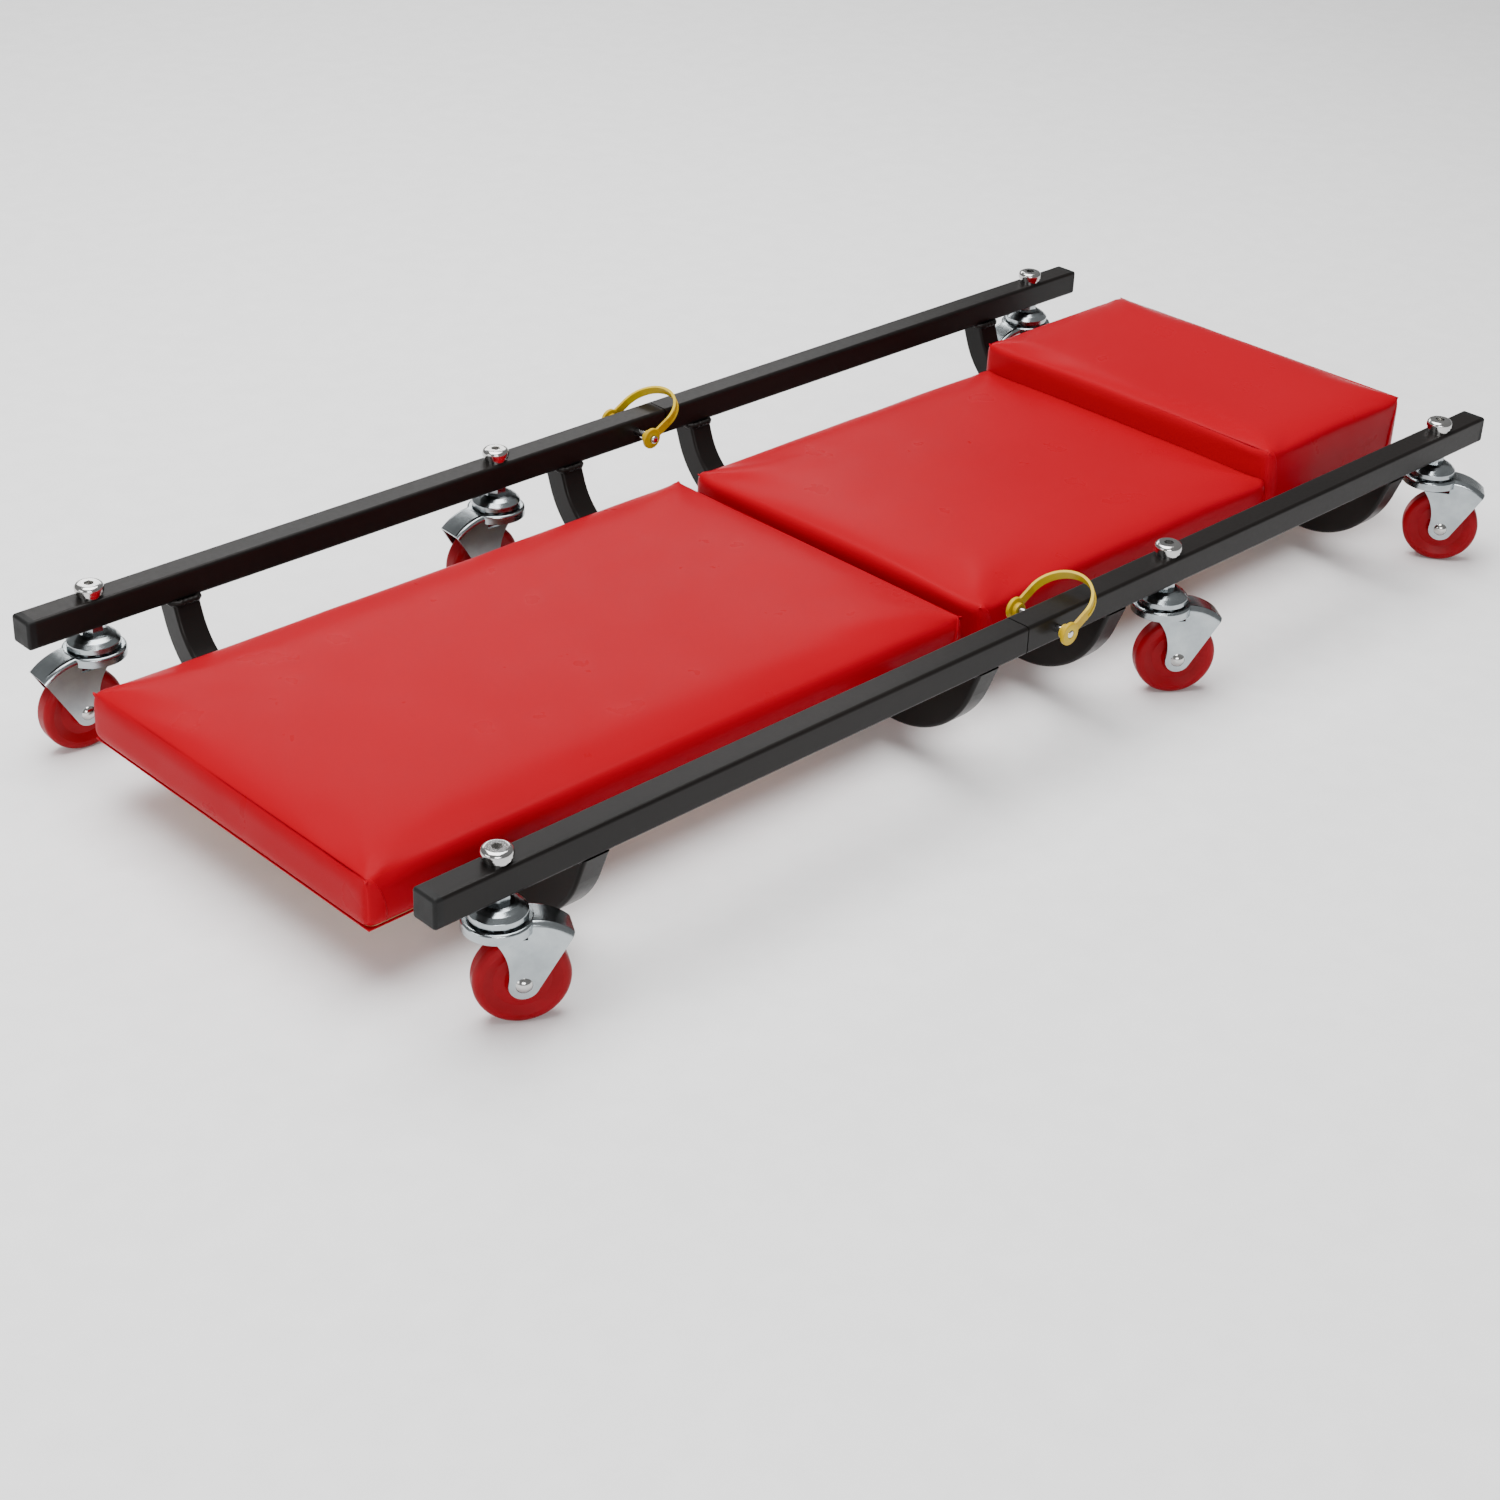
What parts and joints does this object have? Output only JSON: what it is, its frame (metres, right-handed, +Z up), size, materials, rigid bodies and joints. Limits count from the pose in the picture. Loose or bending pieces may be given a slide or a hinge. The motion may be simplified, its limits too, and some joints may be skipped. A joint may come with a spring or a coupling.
{
  "type": "mechanics creeper",
  "caption": "Low wheeled creeper for lying under a vehicle: padded boards on a two-part tube frame with swivel casters and snap-pin joints.",
  "frame": {"origin": "on the floor, under the middle of the creeper: halfway along its length and between its side rails", "axes": "+X from the foot end to the head end, +Z up, +Y to the right-hand rail seen from above with the head end away"},
  "size_m": [1.028, 0.4742, 0.1197],
  "materials": {
    "black_paint": "gloss black enamel on steel tube",
    "black_plastic": "moulded, satin",
    "plywood": "raw plywood",
    "foam": "open-cell polyurethane foam",
    "red_vinyl": "coated vinyl cloth, semi-gloss, fine grain",
    "zinc_steel": "bright zinc-plated pressing",
    "bright_steel": "bright plated",
    "ball_steel": "polished balls",
    "red_wheel": "moulded polyolefin, semi-gloss",
    "yellow_plastic": "moulded nylon or polyethylene, slightly translucent"
  },
  "bodies": {
    "foot_half": {"near_rail_foot": "black_paint", "far_rail_foot": "black_paint", "near_joint_insert_foot": "black_paint", "end_plugs_foot": "black_plastic", "crossbar_inner_foot": "black_paint", "crossbar_outer_foot": "black_paint", "board_foot": "plywood", "foam_foot": "foam", "cover_foot": "red_vinyl", "board_screws_foot": "zinc_steel", "caster_bolts_foot": "bright_steel", "caster_washers_foot": "bright_steel", "caster_stems_foot": "zinc_steel", "caster_races_foot": "zinc_steel", "caster_balls_foot": "ball_steel"},
    "head_half": {"near_rail_head": "black_paint", "far_rail_head": "black_paint", "far_joint_insert_head": "black_paint", "end_plugs_head": "black_plastic", "crossbar_inner_head": "black_paint", "crossbar_outer_head": "black_paint", "board_head": "plywood", "foam_back": "foam", "foam_headrest": "foam", "cover_back": "red_vinyl", "cover_headrest": "red_vinyl", "board_screws_head": "zinc_steel", "caster_bolts_head": "bright_steel", "caster_washers_head": "bright_steel", "caster_stems_head": "zinc_steel", "caster_races_head": "zinc_steel", "caster_balls_head": "ball_steel"},
    "swivel_near_foot": {"fork_near_foot": "zinc_steel", "axle_near_foot": "bright_steel"},
    "wheel_near_foot": {"wheel_near_foot": "red_wheel", "bush_near_foot": "black_plastic"},
    "swivel_near_mid": {"fork_near_mid": "zinc_steel", "axle_near_mid": "bright_steel"},
    "wheel_near_mid": {"wheel_near_mid": "red_wheel", "bush_near_mid": "black_plastic"},
    "swivel_near_head": {"fork_near_head": "zinc_steel", "axle_near_head": "bright_steel"},
    "wheel_near_head": {"wheel_near_head": "red_wheel", "bush_near_head": "black_plastic"},
    "swivel_far_foot": {"fork_far_foot": "zinc_steel", "axle_far_foot": "bright_steel"},
    "wheel_far_foot": {"wheel_far_foot": "red_wheel", "bush_far_foot": "black_plastic"},
    "swivel_far_mid": {"fork_far_mid": "zinc_steel", "axle_far_mid": "bright_steel"},
    "wheel_far_mid": {"wheel_far_mid": "red_wheel", "bush_far_mid": "black_plastic"},
    "swivel_far_head": {"fork_far_head": "zinc_steel", "axle_far_head": "bright_steel"},
    "wheel_far_head": {"wheel_far_head": "red_wheel", "bush_far_head": "black_plastic"},
    "pin_near": {"lock_pin_near": "bright_steel"},
    "strap_near": {"lock_strap_near": "yellow_plastic"},
    "pin_far": {"lock_pin_far": "bright_steel"},
    "strap_far": {"lock_strap_far": "yellow_plastic"}
  },
  "joints": [
    {"name": "head_half_slide", "type": "slide", "parent": "foot_half", "child": "head_half", "axis": [1, 0, 0], "range_m": [0, 0.085], "deforming": ["lock_pin_near", "lock_pin_far"]},
    {"name": "swivel_turn_near_foot", "type": "hinge", "parent": "foot_half", "child": "swivel_near_foot", "pos_m": [-0.463, -0.206, 0.07], "axis": [0, 0, 1], "continuous": true},
    {"name": "wheel_spin_near_foot", "type": "hinge", "parent": "swivel_near_foot", "child": "wheel_near_foot", "pos_m": [-0.45174, -0.2125, 0.0285], "axis": [0.5, 0.866, 0], "continuous": true},
    {"name": "swivel_turn_near_mid", "type": "hinge", "parent": "head_half", "child": "swivel_near_mid", "pos_m": [0.128, -0.206, 0.07], "axis": [0, 0, 1], "continuous": true},
    {"name": "wheel_spin_near_mid", "type": "hinge", "parent": "swivel_near_mid", "child": "wheel_near_mid", "pos_m": [0.13852, -0.21364, 0.0285], "axis": [0.5878, 0.809, 0], "continuous": true},
    {"name": "swivel_turn_near_head", "type": "hinge", "parent": "head_half", "child": "swivel_near_head", "pos_m": [0.463, -0.206, 0.07], "axis": [0, 0, 1], "continuous": true},
    {"name": "wheel_spin_near_head", "type": "hinge", "parent": "swivel_near_head", "child": "wheel_near_head", "pos_m": [0.47046, -0.21665, 0.0285], "axis": [0.8192, 0.5736, 0], "continuous": true},
    {"name": "swivel_turn_far_foot", "type": "hinge", "parent": "foot_half", "child": "swivel_far_foot", "pos_m": [-0.463, 0.206, 0.07], "axis": [0, 0, 1], "continuous": true},
    {"name": "wheel_spin_far_foot", "type": "hinge", "parent": "swivel_far_foot", "child": "wheel_far_foot", "pos_m": [-0.47597, 0.20691, 0.0285], "axis": [-0.0698, -0.9976, 0], "continuous": true},
    {"name": "swivel_turn_far_mid", "type": "hinge", "parent": "foot_half", "child": "swivel_far_mid", "pos_m": [-0.128, 0.206, 0.07], "axis": [0, 0, 1], "continuous": true},
    {"name": "wheel_spin_far_mid", "type": "hinge", "parent": "swivel_far_mid", "child": "wheel_far_mid", "pos_m": [-0.14097, 0.20691, 0.0285], "axis": [-0.0698, -0.9976, 0], "continuous": true},
    {"name": "swivel_turn_far_head", "type": "hinge", "parent": "head_half", "child": "swivel_far_head", "pos_m": [0.463, 0.206, 0.07], "axis": [0, 0, 1], "continuous": true},
    {"name": "wheel_spin_far_head", "type": "hinge", "parent": "swivel_far_head", "child": "wheel_far_head", "pos_m": [0.45003, 0.20691, 0.0285], "axis": [-0.0698, -0.9976, 0], "continuous": true},
    {"name": "pin_draw_near", "type": "slide", "parent": "head_half", "child": "pin_near", "axis": [0, -1, 0], "range_m": [0, 0.06], "deforming": ["lock_strap_near"]},
    {"name": "strap_swing_near", "type": "hinge", "parent": "pin_near", "child": "strap_near", "pos_m": [0, -0.206, 0.096], "axis": [0, -1, 0], "range_deg": [-10, 126]},
    {"name": "pin_draw_far", "type": "slide", "parent": "foot_half", "child": "pin_far", "axis": [0, 1, 0], "range_m": [0, 0.06], "deforming": ["lock_strap_far"]},
    {"name": "strap_swing_far", "type": "hinge", "parent": "pin_far", "child": "strap_far", "pos_m": [0, 0.206, 0.096], "axis": [0, -1, 0], "range_deg": [-10, 126]}
  ]
}
